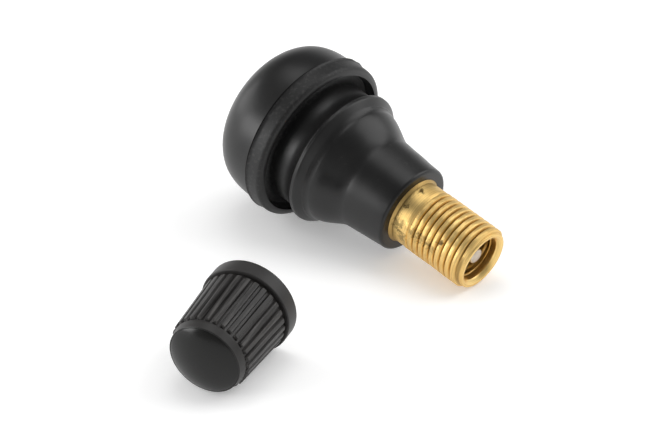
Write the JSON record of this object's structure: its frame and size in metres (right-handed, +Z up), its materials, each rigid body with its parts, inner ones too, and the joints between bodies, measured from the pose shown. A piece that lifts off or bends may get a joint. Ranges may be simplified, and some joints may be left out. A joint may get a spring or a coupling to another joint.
{
  "type": "tyre valve",
  "caption": "Rubber snap-in tyre valve with a brass threaded stem and a sprung core pin, lying on its side beside its ribbed plastic dust cap.",
  "frame": {"origin": "middle of the part's box, on the surface that it lies on", "axes": "+Z is up; the valve's axis lies in the XZ plane and dips towards the stem's mouth at +X; the cap lies towards -Y"},
  "size_m": [0.0356, 0.0468, 0.0201],
  "materials": {
    "body_rubber": "satin moulded rubber",
    "stem_brass": "turned brass, slightly stained",
    "core_brass": "turned brass",
    "gasket_polymer": "moulded sealing ring",
    "pin_steel": "plated pin",
    "spring_steel": "drawn wire",
    "seal_rubber": "soft rubber",
    "cap_plastic": "satin moulded plastic"
  },
  "bodies": {
    "valve": {"rubber_body": "body_rubber", "stem": "stem_brass", "core_plug": "core_brass", "core_barrel": "core_brass", "barrel_gasket": "gasket_polymer", "return_spring": "spring_steel", "dust_cap": "cap_plastic"},
    "pin": {"core_pin": "pin_steel", "pin_collar": "core_brass", "plunger_cup": "core_brass", "plunger_seal": "seal_rubber"}
  },
  "joints": [
    {"name": "pin_press", "type": "slide", "parent": "valve", "child": "pin", "axis": [-0.972, 0, 0.2349], "range_m": [0, 0.0013], "stiffness_N_per_m": 2000, "deforming": ["return_spring"]}
  ]
}
